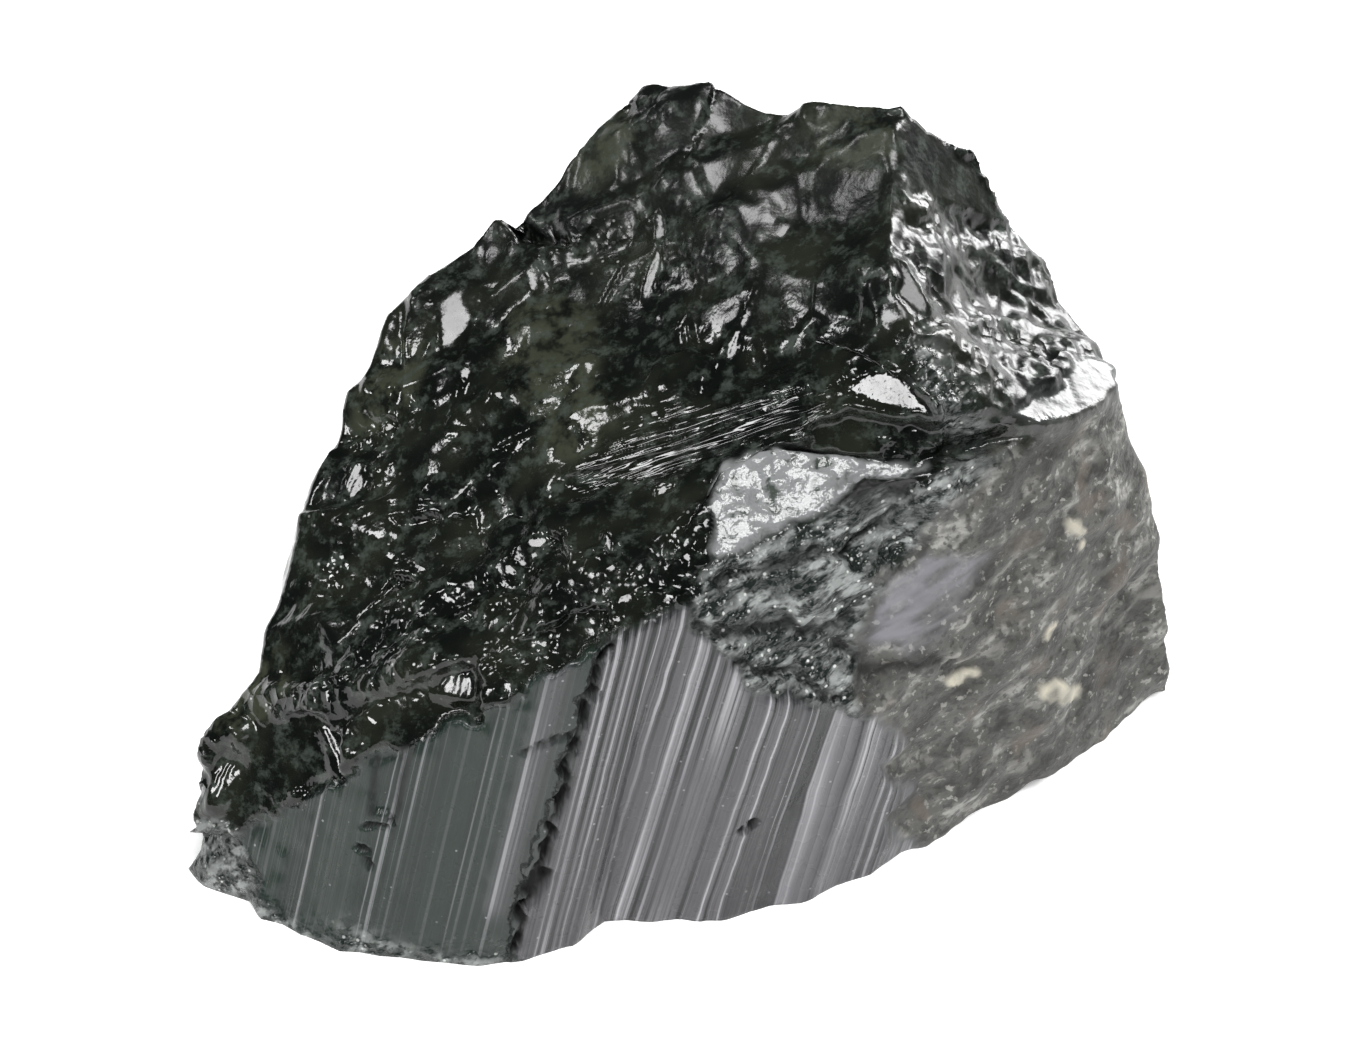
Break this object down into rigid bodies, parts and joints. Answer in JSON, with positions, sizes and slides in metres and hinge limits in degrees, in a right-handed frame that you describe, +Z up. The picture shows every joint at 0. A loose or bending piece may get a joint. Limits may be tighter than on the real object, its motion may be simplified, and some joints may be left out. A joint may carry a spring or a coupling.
{
  "type": "tourmaline crystal",
  "caption": "Broken piece of a black tourmaline crystal with ridged prism faces in front, a weathered side and a glassy stepped fracture over the top.",
  "frame": {"origin": "centre of the bounding box's bottom, on the surface the stone lies on", "axes": "+X to the right along the stone's longest side, +Y to the back, away from the ridged prism faces, +Z up"},
  "size_m": [0.04, 0.0276, 0.0239],
  "materials": {
    "black_tourmaline": "glassy black fracture, satin ridged prism faces, dull brown-grey weathered side"
  },
  "bodies": {
    "root": {"tourmaline_crystal": "black_tourmaline"}
  },
  "joints": []
}
